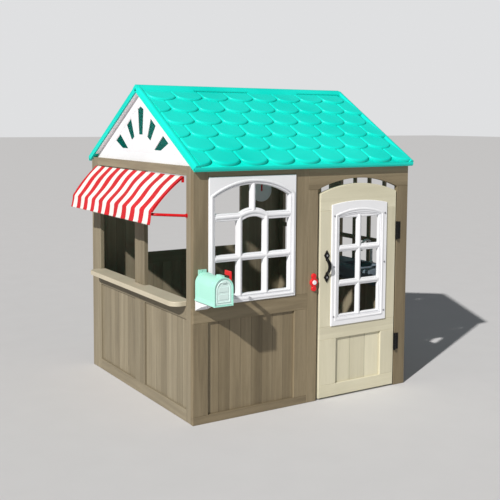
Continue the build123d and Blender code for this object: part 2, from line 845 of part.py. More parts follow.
with BuildPart() as mailbox_body:
    with BuildSketch(front(-mailbox_standoff)):
        tunnel(0)
    extrude(amount=mailbox_length - mailbox_standoff)
    with BuildSketch(front(-mailbox_standoff - mailbox_wall)):
        tunnel(mailbox_wall)
    extrude(amount=mailbox_length, mode=Mode.SUBTRACT)
    with BuildSketch(front()):
        rectangle(mailbox_centre - 24, mailbox_centre + 12, mailbox_bottom, mailbox_tab_top)
    extrude(amount=mailbox_standoff)
    with BuildSketch(front()):
        with Locations((mailbox_centre - 6, mailbox_tab_top - 5)):
            Circle(screw_hole)
    extrude(amount=mailbox_standoff, mode=Mode.SUBTRACT)
    with BuildSketch(along(box_front + 8)):
        rectangle(mailbox_centre - 7, mailbox_centre + 7, 639, 650)
    extrude(amount=-40)
    with BuildSketch(across(box_left)):
        with Locations((lid_axis_y, lid_axis_z)):
            Circle(trunnion_radius + trunnion_play)
    extrude(amount=2 * mailbox_half_width, mode=Mode.SUBTRACT)
    with BuildSketch(across(box_right - mailbox_wall)):
        with Locations(flag_axis):
            Circle(flag_pin_radius + trunnion_play)
    extrude(amount=mailbox_wall, mode=Mode.SUBTRACT)
hand_in(mailbox_body.part, "mailbox_body")

lid_left = box_left + mailbox_wall + lid_play
lid_right = box_right - mailbox_wall - lid_play
lid_face = lid_axis_y - lid_thickness / 2
with BuildPart() as mailbox_door:
    with BuildSketch(along(lid_axis_y + lid_thickness / 2)):
        tunnel(mailbox_wall + lid_play)
        rectangle(lid_left, lid_right, mailbox_bottom, lid_axis_z, mode=Mode.SUBTRACT)
    extrude(amount=lid_thickness)
    with BuildSketch(across(lid_left)):
        with Locations((lid_axis_y, lid_axis_z)):
            Circle(lid_thickness / 2)
    extrude(amount=lid_right - lid_left)
    with BuildSketch(across(lid_left - trunnion_reach)):
        with Locations((lid_axis_y, lid_axis_z)):
            Circle(trunnion_radius)
    extrude(amount=lid_right - lid_left + 2 * trunnion_reach)
    with BuildSketch(along(lid_face)):
        rectangle(mailbox_centre - 22, mailbox_centre + 22, 556, 576)
        rectangle(mailbox_centre - 22, mailbox_centre + 22, 586, 606)
    extrude(amount=1.5)
    with BuildSketch(along(lid_face)):
        rectangle(mailbox_centre - 9, mailbox_centre + 9, 622, 629)
    extrude(amount=lid_face - box_front + mailbox_pull)
hand_in(mailbox_door.part, "mailbox_door")

flag_gap = 0.5
flag_thickness = 3.0
flag_half = 7.0
flag_top = 662.0
with BuildPart() as mailbox_flag:
    with BuildSketch(across(box_right + flag_gap)):
        rectangle(flag_axis[0] - flag_half, flag_axis[0] + flag_half, flag_axis[1], flag_top)
        rectangle(flag_axis[0] - flag_half, flag_axis[0] + 43, flag_top - 19, flag_top)
        with Locations(flag_axis):
            Circle(flag_half + 1)
    extrude(amount=flag_thickness)
    with BuildSketch(across(box_right - mailbox_wall - 2)):
        with Locations(flag_axis):
            Circle(flag_pin_radius)
    extrude(amount=mailbox_wall + 2 + flag_gap)
hand_in(mailbox_flag.part, "mailbox_flag")

# Bracket: two curved gussets joined by a top plate and a back plate.
bracket_centre = -540.0
bracket_half = 29.0
bracket_wall = 6.0
bracket_reach = 100.0
bracket_foot = 484.0
bracket_nose = 522.0
with BuildPart() as mailbox_bracket:
    with BuildSketch(across(bracket_centre - bracket_half)):
        with BuildLine():
            Polyline((-half_d, bracket_foot), (-half_d, mailbox_bottom),
                     (-half_d - bracket_reach, mailbox_bottom),
                     (-half_d - bracket_reach, bracket_nose))
            ThreePointArc((-half_d - bracket_reach, bracket_nose), (-half_d - 45, 505),
                          (-half_d, bracket_foot))
        make_face()
    extrude(amount=2 * bracket_half)
    with BuildSketch(across(bracket_centre - bracket_half + bracket_wall)):
        rectangle(-half_d - bracket_reach, -half_d - bracket_wall,
                  bracket_foot - 5, mailbox_bottom - bracket_wall)
    extrude(amount=2 * (bracket_half - bracket_wall), mode=Mode.SUBTRACT)
hand_in(mailbox_bracket.part, "mailbox_bracket")

# ----------------------------------------------------------------------------- awning
# Fabric over two bowed ribs and a rod; its sides draw in towards the front.
rib_offset = 3.0                # from the fabric's middle line to the rib
rib_thickness = 4.0
rib_width = 6.0
rib_edge = 3.0                  # from the fabric's side edge to the rib
rod_wall_half = 490.0
rod_front_half = 432.0
rod_front = (-705.0, 876.0)     # x and z of the rod's front run
rod_wall_height = 870.0
rod_bend = 30.0
rod_start = 2.4                 # its cut end stays inside the foot
foot_radius = 9.0
foot_thickness = 3.0
sheet_back = awning_top[0] + 10
sheet_front = awning_hem[0] - 10

with BuildPart() as awning_fabric:
    with BuildSketch(along(awning_centre)):
        with BuildLine():
            ThreePointArc(awning_top, awning_belly, awning_fold)
            Line(awning_fold, awning_hem)
            offset(amount=fabric_thickness / 2, side=Side.BOTH)
        make_face()
    extrude(amount=awning_wall_half, both=True)
    with BuildSketch(level(0)):
        with BuildLine():
            Polyline((sheet_back, awning_centre - awning_wall_half),
                     (sheet_front, awning_centre - awning_front_half),
                     (sheet_front, awning_centre + awning_front_half),
                     (sheet_back, awning_centre + awning_wall_half), close=True)
        make_face()
    extrude(amount=ridge_height, mode=Mode.INTERSECT)
hand_in(awning_fabric.part, "awning_fabric")

awning_curve = ThreePointArc(awning_top, awning_belly, awning_fold)


def awning_arc(inset):
    """Three points of the awning's curve, drawn in by inset towards its centre."""
    centre = awning_curve.arc_center
    scale = 1 - inset / awning_curve.radius
    points = (awning_top, awning_belly, awning_fold)
    return [centre + (Vector(*point) - centre) * scale for point in points]


def plan_strip(near_edge, far_edge):
    """Plan outline of a strip that follows the fabric's side edges, as offsets inwards."""
    for side in sides:
        with BuildLine() as outline:
            Polyline((-half_w, awning_centre + side * (awning_wall_half - near_edge)),
                     (sheet_front, awning_centre + side * (awning_front_half - near_edge)),
                     (sheet_front, awning_centre + side * (awning_front_half - far_edge)),
                     (-half_w, awning_centre + side * (awning_wall_half - far_edge)), close=True)
        make_face(outline.edges())


with BuildPart() as awning_ribs:
    with BuildSketch(along(awning_centre)):
        with BuildLine():
            upper = ThreePointArc(*awning_arc(rib_offset))
            lower = ThreePointArc(*awning_arc(rib_offset + rib_thickness))
            Line(upper @ 0, lower @ 0)
            Line(upper @ 1, lower @ 1)
        make_face()
        rectangle(awning_top[0] - 6, -half_w, awning_top[1] - 26, awning_top[1] - 7)
    extrude(amount=awning_wall_half, both=True)
    with BuildSketch(level(0)):
        plan_strip(rib_edge, rib_edge + rib_width)
    extrude(amount=ridge_height, mode=Mode.INTERSECT)
hand_in(awning_ribs.part, "awning_ribs")

rod_rise = rod_front[1] - rod_wall_height
rod_reach = -half_w - rod_front[0]
rod_plane = Plane(
    origin=(house_x - half_w, house_y + awning_centre, rod_wall_height),
    x_dir=(0, -1, 0),
    z_dir=(-rod_rise, 0, -rod_reach),
)
rod_length = sqrt(rod_rise ** 2 + rod_reach ** 2)
with BuildPart() as awning_frame:
    with BuildLine(rod_plane) as rod:
        FilletPolyline((rod_wall_half, rod_start), (rod_front_half, rod_length),
                       (-rod_front_half, rod_length), (-rod_wall_half, rod_start),
                       radius=rod_bend)
    with BuildSketch(Plane(origin=rod.line @ 0, z_dir=rod.line % 0)):
        Circle(rod_radius)
    sweep(path=rod.line)
    with BuildSketch(left()):
        with Locations((rod_wall_half - awning_centre, rod_wall_height),
                       (-rod_wall_half - awning_centre, rod_wall_height)):
            Circle(foot_radius)
    extrude(amount=foot_thickness)
hand_in(awning_frame.part, "awning_frame")

# ------------------------------------------------------------------------- wall clock
clock_x = 430.0
clock_z = 868.0
clock_radius = 65.0
clock_depth = 14.0
clock_dish = 3.0
clock_rim = 8.0
clock_pin = 2.0
clock_back = half_d - wall_thickness
hand_thickness = 1.6
hand_gap = 0.4
clock_point = (clock_x, clock_z)

with BuildPart() as clock_face:
    with BuildSketch(along(clock_back)):
        with Locations(clock_point):
            Circle(clock_radius)
    extrude(amount=clock_depth)
    with BuildSketch(along(clock_back - clock_depth)):
        with Locations(clock_point):
            Circle(clock_radius - clock_rim)
    extrude(amount=-clock_dish, mode=Mode.SUBTRACT)
    with BuildSketch(along(clock_back - clock_depth + clock_dish)):
        with Locations(clock_point):
            Circle(clock_pin)
    extrude(amount=2 * (hand_thickness + hand_gap) + 2)
hand_in(clock_face.part, "clock_face")


def clock_hand(label, layer, length, width):
    """Hand that points up and turns on the clock's pin, in the given layer."""
    depth = clock_depth - clock_dish + hand_gap + layer * (hand_thickness + hand_gap)
    with BuildPart() as piece:
        with BuildSketch(along(clock_back - depth)):
            with BuildLine():
                Polyline((clock_x - width / 2, clock_z), (clock_x + width / 2, clock_z),
                         (clock_x + width / 2, clock_z + length * 0.75),
                         (clock_x, clock_z + length),
                         (clock_x - width / 2, clock_z + length * 0.75), close=True)
            make_face()
            with Locations(clock_point):
                Circle(width * 0.8)
                Circle(clock_pin + pin_play, mode=Mode.SUBTRACT)
        extrude(amount=hand_thickness)
    hand_in(piece.part, label)


clock_hand("clock_hour_hand", 0, 33.0, 8.0)
clock_hand("clock_minute_hand", 1, 48.0, 6.0)

# ----------------------------------------------------------------------- kitchen corner
# A moulded worktop along the right wall with a drop-in sink and a tap.
top_front = 378.0
top_back = inner_corner + (half_w - half_d)
top_near = -500.0
top_far = -70.0
top_height = 560.0
top_thickness = 16.0
apron_thickness = 12.0
apron_low = 446.0
basin_x = (408.0, 520.0)
basin_y = (-420.0, -240.0)
basin_depth = 60.0
basin_wall = 3.0
basin_lip = 8.0
tap_point = (538.0, -330.0)

with BuildPart() as kitchen_counter:
    with BuildSketch(level(top_height - top_thickness)):
        rectangle(top_front, top_back, top_near, top_far)
        rectangle(*basin_x, *basin_y, mode=Mode.SUBTRACT)
    extrude(amount=top_thickness)
    with BuildSketch(level(apron_low)):
        rectangle(top_back - apron_thickness, top_back, top_near, top_far)
    extrude(amount=top_height - apron_low)
    for y in (top_near, top_far - apron_thickness):
        with BuildSketch(along(y + apron_thickness)):
            with BuildLine():
                Polyline((top_back - apron_thickness, apron_low),
                         (top_back - apron_thickness, top_height - top_thickness),
                         (top_front + 20, top_height - top_thickness), close=True)
            make_face()
        extrude(amount=apron_thickness)
    fillet(kitchen_counter.edges().filter_by(Axis.Y).group_by(Axis.X)[0].group_by(Axis.Z)[-1],
           radius=6)
hand_in(kitchen_counter.part, "kitchen_counter")

with BuildPart() as sink_basin:
    with BuildSketch(level(top_height)):
        rectangle(basin_x[0] - basin_lip, basin_x[1] + basin_lip,
                  basin_y[0] - basin_lip, basin_y[1] + basin_lip)
    extrude(amount=basin_wall)
    with BuildSketch(level(top_height - basin_depth)):
        rectangle(basin_x[0] + 1, basin_x[1] - 1, basin_y[0] + 1, basin_y[1] - 1)
    extrude(amount=basin_depth)
    with BuildSketch(level(top_height - basin_depth + basin_wall)):
        rectangle(basin_x[0] + 1 + basin_wall, basin_x[1] - 1 - basin_wall,
                  basin_y[0] + 1 + basin_wall, basin_y[1] - 1 - basin_wall)
    extrude(amount=basin_depth, mode=Mode.SUBTRACT)
hand_in(sink_basin.part, "sink_basin")

with BuildPart() as sink_tap:
    with BuildSketch(level(top_height)):
        with Locations(tap_point):
            Circle(9)
    extrude(amount=10)
    with BuildLine(along(tap_point[1])) as neck:
        Line((tap_point[0], top_height + 5), (tap_point[0], top_height + 85))
        ThreePointArc((tap_point[0], top_height + 85), (tap_point[0] - 32, top_height + 117),
                      (tap_point[0] - 64, top_height + 85))
        Line((tap_point[0] - 64, top_height + 85), (tap_point[0] - 64, top_height + 66))
    with BuildSketch(Plane(origin=neck.line @ 0, z_dir=neck.line % 0)):
        Circle(6)
    sweep(path=neck.line)
hand_in(sink_tap.part, "sink_tap")
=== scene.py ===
"""Looks of a children's garden playhouse, built around its CAD frame.

Metres, in the frame's own axes: the door wall faces -Y, the serving hatch faces -X, and
the ridge runs along X. HX and HY are the middle of the house in that frame.
"""

import math

import bmesh
import bpy
from mathutils import Matrix, Vector


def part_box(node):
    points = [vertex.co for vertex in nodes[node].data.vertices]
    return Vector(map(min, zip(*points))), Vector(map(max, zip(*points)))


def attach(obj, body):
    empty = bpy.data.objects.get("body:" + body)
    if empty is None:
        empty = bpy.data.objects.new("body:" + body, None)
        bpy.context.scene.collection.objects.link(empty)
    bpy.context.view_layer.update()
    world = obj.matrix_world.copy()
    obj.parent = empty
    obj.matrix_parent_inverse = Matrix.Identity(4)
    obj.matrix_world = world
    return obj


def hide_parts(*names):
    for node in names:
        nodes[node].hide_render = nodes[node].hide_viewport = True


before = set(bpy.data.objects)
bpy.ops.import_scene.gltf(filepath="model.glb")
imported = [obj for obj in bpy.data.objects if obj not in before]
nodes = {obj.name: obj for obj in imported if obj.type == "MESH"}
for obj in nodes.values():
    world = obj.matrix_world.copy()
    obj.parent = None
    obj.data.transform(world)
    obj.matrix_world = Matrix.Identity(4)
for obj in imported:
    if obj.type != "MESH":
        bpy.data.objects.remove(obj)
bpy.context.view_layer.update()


def middle(node, axis):
    """Middle of a node's box along one axis."""
    low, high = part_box(node)
    return (low[axis] + high[axis]) / 2


HX = middle("roof_front", 0)
HY = (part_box("roof_front")[0][1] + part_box("roof_back")[1][1]) / 2


# --------------------------------------------------------------------------- camera
def add_camera():
    """Camera of the reference view: where it stands, how it is turned, and its lens."""
    place = Vector((HX - 2.229, HY - 3.583, 1.255))
    yaw = math.radians(32.253)
    pitch = math.radians(-4.99)
    roll = math.radians(0.353)
    ahead = Vector((math.cos(pitch) * math.sin(yaw), math.cos(pitch) * math.cos(yaw),
                    math.sin(pitch)))
    level_right = Vector((math.cos(yaw), -math.sin(yaw), 0.0))
    level_up = level_right.cross(ahead)
    right = math.cos(roll) * level_right + math.sin(roll) * level_up
    up = -math.sin(roll) * level_right + math.cos(roll) * level_up
    turn = Matrix((right, up, -ahead)).transposed().to_4x4()
    data = bpy.data.cameras.new("camera")
    data.lens = 61.9
    data.sensor_width = 36.0
    data.shift_y = -0.1064
    camera = bpy.data.objects.new("camera", data)
    camera.matrix_world = Matrix.Translation(place) @ turn
    bpy.context.scene.collection.objects.link(camera)
    bpy.context.scene.camera = camera


# ------------------------------------------------------------------ node-tree helpers
class Tree:
    """A material's node tree, with short ways to add and join nodes."""

    def __init__(self, name):
        self.material = bpy.data.materials.new(name)
        self.material.use_nodes = True
        self.nodes = self.material.node_tree.nodes
        self.links = self.material.node_tree.links
        self.shader = self.nodes["Principled BSDF"]
        self.place = self.nodes.new("ShaderNodeTexCoord").outputs["Object"]

    def join(self, source, socket):
        self.links.new(source, socket)

    def put(self, socket, value):
        """Link a socket to another, or set it to a constant."""
        if hasattr(value, "is_output"):
            self.links.new(value, socket)
        else:
            socket.default_value = value

    def math(self, operation, a, b=0.0, clamp=False):
        node = self.nodes.new("ShaderNodeMath")
        node.operation = operation
        node.use_clamp = clamp
        self.put(node.inputs[0], a)
        self.put(node.inputs[1], b)
        return node.outputs[0]

    def axis(self, name, vector=None):
        """One coordinate of a vector, or of the surface point."""
        node = self.nodes.new("ShaderNodeSeparateXYZ")
        self.join(self.place if vector is None else vector, node.inputs[0])
        return node.outputs[name]

    def fade(self, value, width):
        """1 where a value is 0, falling to 0 where it is width or more."""
        return self.math("SUBTRACT", 1.0, self.math("DIVIDE", value, width), clamp=True)

    def scaled(self, scale, offset=None):
        """The surface point with each coordinate scaled, and moved if offset is given."""
        node = self.nodes.new("ShaderNodeMapping")
        self.join(self.place, node.inputs["Vector"])
        node.inputs["Scale"].default_value = scale
        if offset is not None:
            self.put(node.inputs["Location"], offset)
        return node.outputs[0]

    def noise(self, vector, scale, detail=4.0, rough=0.5, distort=0.0):
        node = self.nodes.new("ShaderNodeTexNoise")
        self.join(vector, node.inputs["Vector"])
        node.inputs["Scale"].default_value = scale
        node.inputs["Detail"].default_value = detail
        node.inputs["Roughness"].default_value = rough
        node.inputs["Distortion"].default_value = distort
        return node.outputs["Fac"]

    def ramp(self, factor, *stops):
        """Colour ramp: stops are (position, rgb)."""
        node = self.nodes.new("ShaderNodeValToRGB")
        self.join(factor, node.inputs["Fac"])
        band = node.color_ramp
        while len(band.elements) < len(stops):
            band.elements.new(0.5)
        for element, (position, colour) in zip(band.elements, stops):
            element.position = position
            element.color = (*colour, 1.0)
        return node.outputs["Color"]

    def mix(self, factor, a, b, blend="MIX"):
        node = self.nodes.new("ShaderNodeMix")
        node.data_type = "RGBA"
        node.blend_type = blend
        self.put(node.inputs["Factor"], factor)
        colours = [s for s in node.inputs if s.type == "RGBA"]
        for socket, value in zip(colours, (a, b)):
            self.put(socket, (*value, 1.0) if isinstance(value, tuple) else value)
        return [s for s in node.outputs if s.type == "RGBA"][0]

    def bump(self, height, strength, distance, below=None):
        node = self.nodes.new("ShaderNodeBump")
        self.join(height, node.inputs["Height"])
        node.inputs["Strength"].default_value = strength
        node.inputs["Distance"].default_value = distance
        if below is not None:
            self.join(below, node.inputs["Normal"])
        return node.outputs["Normal"]

    def finish(self, colour, roughness, normal=None):
        self.put(self.shader.inputs["Base Color"], colour)
        self.put(self.shader.inputs["Roughness"], roughness)
        if normal is not None:
            self.join(normal, self.shader.inputs["Normal"])
        return self.material


def srgb(red, green, blue):
    """Linear colour from 0-255 display values."""
    return tuple((c / 255 / 12.92) if c <= 10 else ((c / 255 + 0.055) / 1.055) ** 2.4
                 for c in (red, green, blue))


# ------------------------------------------------------------------------- materials
GRAIN_STRETCH = 16.0        # how much finer the grain is across the board than along it
NEXT_RUN = 40.0             # sets the boards of a second run apart from those of the first
KNOT_SIZE = 0.085
KNOT_SPREAD = {"along": 2.6, "across": 9.0, "through": 0.5}
SEAM_SHARE = 0.03           # how much of a board's width its dark edge takes


def count_boards(tree, across, pitch, start, second):
    """Boards counted along an axis: the whole part of the count is the board's own number.
    second is (from where, start, pitch) of a second run of boards, or None."""
    spot = tree.axis(across)
    if second is None:
        return tree.math("DIVIDE", tree.math("SUBTRACT", spot, start), pitch)
    split, start_two, pitch_two = second
    beyond = tree.math("GREATER_THAN", spot, split)
    start = tree.math("ADD", start, tree.math("MULTIPLY", beyond, start_two - start))
    pitch = tree.math("ADD", pitch, tree.math("MULTIPLY", beyond, pitch_two - pitch))
    count = tree.math("DIVIDE", tree.math("SUBTRACT", spot, start), pitch)
    return tree.math("ADD", count, tree.math("MULTIPLY", beyond, NEXT_RUN))


def add_knots(tree, colour, dark, strength, along, across, shift):
    """Darken a colour where one board in a few has a knot."""
    scale = [KNOT_SPREAD["through"]] * 3
    scale["XYZ".index(across)] = KNOT_SPREAD["across"]
    scale["XYZ".index(along)] = KNOT_SPREAD["along"]
    knot = tree.nodes.new("ShaderNodeTexVoronoi")
    knot.inputs["Scale"].default_value = 1.0
    tree.join(tree.scaled(scale, shift), knot.inputs["Vector"])
    chosen = tree.math("GREATER_THAN", tree.axis("X", knot.outputs["Color"]), 0.6)
    spot = tree.math("POWER", tree.fade(knot.outputs["Distance"], KNOT_SIZE), 0.6)
    spot = tree.math("MULTIPLY", spot, chosen)
    return tree.mix(tree.math("MULTIPLY", spot, strength), colour, tuple(c * 0.4 for c in dark))


def add_seams(tree, colour, dark, count):
    """Darken a colour along the joints between the counted boards."""
    inside = tree.math("FRACT", count)
    near = tree.math("MINIMUM", inside, tree.math("SUBTRACT", 1.0, inside))
    joint = tree.math("MULTIPLY", tree.fade(near, SEAM_SHARE), 0.7)
    return tree.mix(joint, colour, tuple(c * 0.45 for c in dark))


def wood(name, shades, along, across="X", pitch=0.054, start=0.0, paint=0.0, second=None,
         seams=False):
    """Stained or painted board: quiet grain along one axis. Each board, a pitch wide along
    the other axis, gets its own tone and its own stretch of grain, and one in a few a knot.
    paint quiets the tones and the knots, and seams darkens the joints."""
    dark, mid, light = shades
    tree = Tree(name)
    count = count_boards(tree, across, pitch, start, second)
    white = tree.nodes.new("ShaderNodeTexWhiteNoise")
    white.noise_dimensions = "1D"
    tree.join(tree.math("FLOOR", count), white.inputs["W"])
    shift = tree.nodes.new("ShaderNodeVectorMath")
    shift.operation = "SCALE"
    tree.join(white.outputs["Color"], shift.inputs[0])
    shift.inputs["Scale"].default_value = 30.0
    shift = shift.outputs[0]
    point = tree.scaled([1.0 if axis == along else GRAIN_STRETCH for axis in "XYZ"], shift)
    broad = tree.noise(point, scale=1.1, detail=2.0, rough=0.45, distort=1.0)
    streak = tree.noise(point, scale=5.0, detail=3.0, rough=0.5, distort=0.5)
    fibre = tree.noise(point, scale=30.0, detail=3.0, rough=0.6)
    fine = tree.math("ADD", tree.math("MULTIPLY", streak, 0.3), tree.math("MULTIPLY", fibre, 0.2))
    grain = tree.math("ADD", tree.math("MULTIPLY", broad, 0.5), fine)
    colour = tree.ramp(grain, (0.32, dark), (0.5, mid), (0.68, light))
    darkest = tuple(1.0 - (1.0 - c) * (1.0 - 0.6 * paint) for c in (0.80, 0.79, 0.755))
    tone = tree.ramp(white.outputs["Value"], (0.0, darkest), (1.0, (1.08, 1.08, 1.07)))
    colour = tree.mix(1.0, colour, tone, "MULTIPLY")
    wander = tree.noise(tree.place, scale=3.0, detail=3.0)
    weather = tree.ramp(wander, (0.3, (0.86, 0.87, 0.88)), (0.7, (1.06, 1.05, 1.03)))
    colour = tree.mix(0.5, colour, weather, "MULTIPLY")
    colour = add_knots(tree, colour, dark, 0.7 - 0.45 * paint, along, across, shift)
    if seams:
        colour = add_seams(tree, colour, dark, count)
    rough = tree.math("ADD", 0.55, tree.math("MULTIPLY", streak, 0.2))
    lines = tree.bump(fibre, strength=0.25, distance=0.0005)
    normal = tree.bump(streak, strength=0.25, distance=0.0008, below=lines)
    return tree.finish(colour, rough, normal)


def plastic(name, colour, roughness=0.45, grain_scale=900.0, worn=0.06, gloss=0.4):
    """Moulded plastic: faint cloudiness, scuffed gloss and a fine pebbled skin."""
    tree = Tree(name)
    cloud = tree.noise(tree.place, scale=3.0, detail=3.0, rough=0.55)
    shade = tuple(c * (1.0 - 2.2 * worn) for c in colour)
    bright = tuple(min(1.0, c * (1.0 + worn) + 0.01) for c in colour)
    base = tree.ramp(cloud, (0.3, shade), (0.7, bright))
    scuff = tree.noise(tree.place, scale=60.0, detail=6.0, rough=0.7)
    rough = tree.math("ADD", roughness - 0.08, tree.math("MULTIPLY", scuff, 0.2))
    tree.shader.inputs["Specular IOR Level"].default_value = gloss
    pebble = tree.noise(tree.place, scale=grain_scale, detail=2.0)
    ripple = tree.noise(tree.place, scale=22.0, detail=2.0)
    waves = tree.bump(ripple, strength=0.08, distance=0.0008)
    return tree.finish(base, rough, tree.bump(pebble, strength=0.12, distance=0.00012, below=waves))


def metal(name, colour, roughness, metallic):
    """Painted or plated steel with fine scratches."""
    tree = Tree(name)
    scratch = tree.noise(tree.scaled((60, 60, 400)), scale=3.0, rough=0.7)
    cloud = tree.noise(tree.place, scale=30.0, detail=3.0)
    base = tree.ramp(cloud, (0.3, tuple(c * 0.82 for c in colour)), (0.7, colour))
    rough = tree.math("ADD", roughness - 0.1, tree.math("MULTIPLY", scratch, 0.2))
    tree.shader.inputs["Metallic"].default_value = metallic
    tree.shader.inputs["Specular IOR Level"].default_value = 0.25
    return tree.finish(base, rough, tree.bump(scratch, strength=0.15, distance=0.0002))


# the awning's section as (x, z) from the middle of the house and from the ground
AWNING_TOP = (-0.582, 1.031)
AWNING_BELLY = (-0.652, 0.968)
AWNING_FOLD = (-0.716, 0.889)
AWNING_HEM = (-0.724, 0.834)
AWNING_MIDDLE = 0.006
AWNING_WALL_HALF = 0.470
AWNING_FRONT_HALF = 0.440
STRIPE_PITCH = 0.0934
STRIPE_TAPER = 0.064        # how much narrower the stripes are at the hem than at the wall
STRIPE_SHIFT = 50.25        # whole pitches that keep the count positive, and a quarter more
THREAD_SCALE = 260.0


def thread_bands(tree, direction):
    """Fine ridges of the threads that run across one axis."""
    wave = tree.nodes.new("ShaderNodeTexWave")
    wave.wave_type = "BANDS"
    wave.bands_direction = direction
    wave.inputs["Scale"].default_value = THREAD_SCALE
    wave.inputs["Distortion"].default_value = 0.6
    tree.join(tree.place, wave.inputs["Vector"])
    return wave.outputs["Fac"]


def striped_cloth(name):
    """Woven cloth with red and white stripes that run out from the wall."""
    tree = Tree(name)
    out = tree.math("SUBTRACT", HX + AWNING_TOP[0], tree.axis("X"))
    reach = tree.math("DIVIDE", out, AWNING_TOP[0] - AWNING_HEM[0])
    span = tree.math("SUBTRACT", 1.0, tree.math("MULTIPLY", reach, STRIPE_TAPER))
    off_middle = tree.math("SUBTRACT", tree.axis("Y"), HY + AWNING_MIDDLE)
    pitches = tree.math("DIVIDE", tree.math("DIVIDE", off_middle, span), STRIPE_PITCH)
    phase = tree.math("FRACT", tree.math("ADD", pitches, STRIPE_SHIFT))
    red_side = tree.math("LESS_THAN", phase, 0.5)
    threads = tree.math("MULTIPLY", thread_bands(tree, "Y"), thread_bands(tree, "Z"))
    soil = tree.noise(tree.place, scale=7.0, rough=0.6)
    red = tree.ramp(soil, (0.3, srgb(190, 8, 22)), (0.7, srgb(212, 16, 32)))
    white = tree.ramp(soil, (0.3, srgb(226, 224, 220)), (0.7, srgb(240, 239, 236)))
    colour = tree.mix(red_side, white, red)
    colour = tree.mix(tree.math("MULTIPLY", threads, 0.22), colour, (0.25, 0.2, 0.2), "MULTIPLY")
    tree.shader.inputs["Sheen Weight"].default_value = 0.04
    return tree.finish(colour, 0.85, tree.bump(threads, strength=0.5, distance=0.0004))


WALNUT = (srgb(111, 99, 78), srgb(129, 116, 92), srgb(144, 131, 107))
WEATHERED = (srgb(121, 112, 94), srgb(137, 127, 107), srgb(150, 141, 121))
CREAM = (srgb(199, 194, 170), srgb(208, 203, 180), srgb(215, 210, 188))


def walnut(name, along, **boards):
    return wood(name, WALNUT, along, **boards)


def weathered(name, along, **boards):
    return wood(name, WEATHERED, along, **boards)


def cream(name, along, **boards):
    return wood(name, CREAM, along, paint=0.75, **boards)


PLASTICS = {
    "teal": plastic("teal_plastic", srgb(0, 220, 203), 0.34, grain_scale=700.0, worn=0.04, gloss=0.22),
    "white": plastic("white_plastic", srgb(233, 234, 238), 0.38, worn=0.03),
    "cream": plastic("cream_plastic", srgb(190, 181, 160), 0.45),
    "mint": plastic("mint_plastic", srgb(166, 224, 208), 0.4),
    "pale_mint": plastic("pale_mint_plastic", srgb(211, 233, 229), 0.4),
    "red": plastic("red_plastic", srgb(220, 14, 24), 0.3),
    "grey": plastic("grey_plastic", srgb(108, 120, 132), 0.45),
}
METALS = {
    "black": metal("black_metal", srgb(12, 12, 13), 0.4, 0.1),
    "steel": metal("zinc_steel", srgb(190, 190, 194), 0.35, 1.0),
    "rod": metal("red_rod", srgb(206, 18, 26), 0.35, 0.0),
}


def dress(material, *names):
    """Give CAD nodes a material."""
    for name in names:
        slots = nodes[name].data.materials
        slots.clear()
        slots.append(material)


BOARDS_HALF = 0.508         # half of what the front and back boards span between the corners
BACK_HALF = 0.300
BACK_BOARDS = 11
END_STILES = {"pitch": 0.26, "start": HX - 0.60}


def dress_boards():
    """Each wooden node gets grain along its boards, and tones board by board."""
    west = HX - BOARDS_HALF
    dress(walnut("wood_front_rails", "X", across="Z", pitch=0.49), "front_bottom_rail",
          "front_mid_rail", "front_top_rail", "door_header")
    dress(walnut("wood_front_stiles", "Z", **END_STILES), "front_lower_stiles",
          "front_upper_stiles", "door_jamb_left", "door_jamb_right", "door_stop")
    dress(walnut("wood_front_boards", "Z", pitch=0.0545, start=west, seams=True), "front_boards")
    dress(weathered("wood_side_rails", "Y", across="Z", pitch=0.42), "left_bottom_rails",
          "left_mid_rails", "left_top_rail", "right_rails", "right_grid_crossbars")
    dress(weathered("wood_side_stiles", "Z", across="Y", pitch=0.05, start=HY + 0.024),
          "left_corner_stiles", "left_centre_posts", "right_stiles", "right_grid_uprights")
    side = {"across": "Y", "start": HY - 0.478, "seams": True}
    dress(weathered("wood_left_boards", "Z", pitch=0.0505, second=(HY - 0.02, HY + 0.026, 0.05125),
                    **side), "left_boards")
    dress(weathered("wood_right_boards", "Z", pitch=0.0535, second=(HY, HY + 0.050, 0.0535), **side),
          "right_boards")
    dress(weathered("wood_back_rails", "X", across="Z", pitch=0.33), "back_rails")
    dress(weathered("wood_back_stiles", "Z", **END_STILES), "back_stiles")
    dress(weathered("wood_back_bays", "Z", pitch=0.051, start=west, second=(HX, HX + 0.355, 0.051),
                    seams=True), "back_bay_boards")
    dress(weathered("wood_back_half", "Z", pitch=2 * BACK_HALF / BACK_BOARDS, start=HX - BACK_HALF,
                    seams=True), "back_half_boards")
    dress(cream("cream_rails", "X", across="Z", pitch=0.3), "door_rails", "door_top_rail")
    dress(cream("cream_stiles", "Z", pitch=0.22, start=HX + 0.06), "door_lower_stiles",
          "door_upper_stiles")
    dress(cream("cream_boards", "Z", pitch=0.088, start=HX + 0.159, seams=True),
          "door_panel_boards")


# --------------------------------------------------------------------- mesh helpers
def new_piece(name, mesh, material, body, replaced=()):
    """Object from a bmesh, dressed, slotted and riding on a body."""
    data = bpy.data.meshes.new(name)
    mesh.to_mesh(data)
    mesh.free()
    piece = bpy.data.objects.new(name, data)
    bpy.context.scene.collection.objects.link(piece)
    data.materials.append(material)
    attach(piece, body)
    if replaced:
        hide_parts(*replaced)
    return piece


def smooth(piece, angle):
    """Smooth shading, with sharp edges beyond an angle."""
    for face in piece.data.polygons:
        face.use_smooth = True
    piece.data.set_sharp_from_angle(angle=math.radians(angle))


